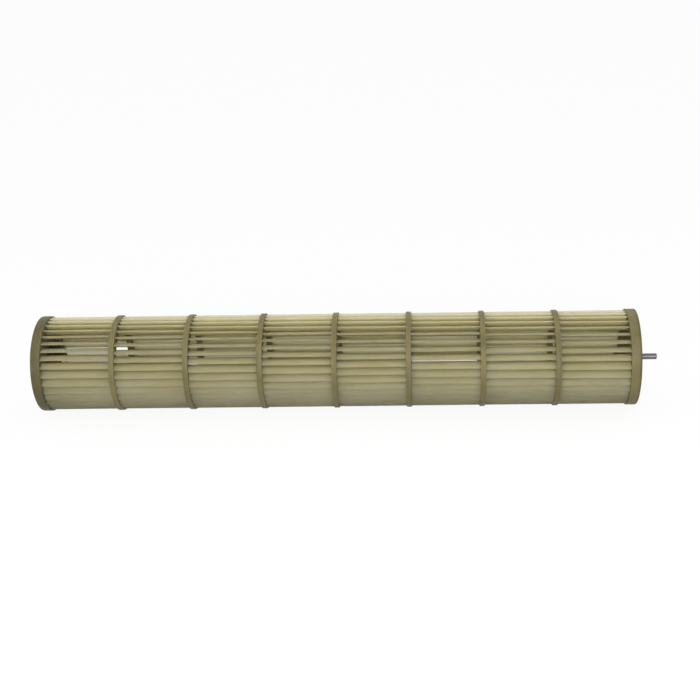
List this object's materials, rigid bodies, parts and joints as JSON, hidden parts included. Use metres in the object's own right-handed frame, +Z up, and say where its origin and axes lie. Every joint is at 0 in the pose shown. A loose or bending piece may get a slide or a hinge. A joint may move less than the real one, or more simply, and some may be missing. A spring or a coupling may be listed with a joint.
{
  "type": "cross flow fan",
  "caption": "Long cross flow fan wheel of moulded blade sections between rings, with a rubber-bushed clamping hub at the motor end and a steel journal at the bearing end.",
  "frame": {"origin": "mouth of the motor-side bore, on the axis of rotation", "axes": "+X along the axis of rotation from the motor end to the bearing end, +Z up"},
  "size_m": [0.612, 0.095, 0.095],
  "materials": {
    "wheel_plastic": "satin moulded, olive khaki, glass-filled",
    "bush_rubber": "matt black",
    "hub_metal": "die cast, bore machined",
    "screw_steel": "black oxide",
    "shaft_steel": "ground",
    "clip_steel": "zinc plated spring steel"
  },
  "bodies": {
    "root": {"motor_end_plate": "wheel_plastic", "bearing_end_section": "wheel_plastic", "rubber_bush": "bush_rubber", "shaft_hub": "hub_metal", "hub_set_screw": "screw_steel", "bearing_shaft": "shaft_steel", "balance_clip": "clip_steel", "blade_section_1": "wheel_plastic", "blade_section_2": "wheel_plastic", "blade_section_3": "wheel_plastic", "blade_section_4": "wheel_plastic", "blade_section_5": "wheel_plastic", "blade_section_6": "wheel_plastic", "blade_section_7": "wheel_plastic"}
  },
  "joints": []
}
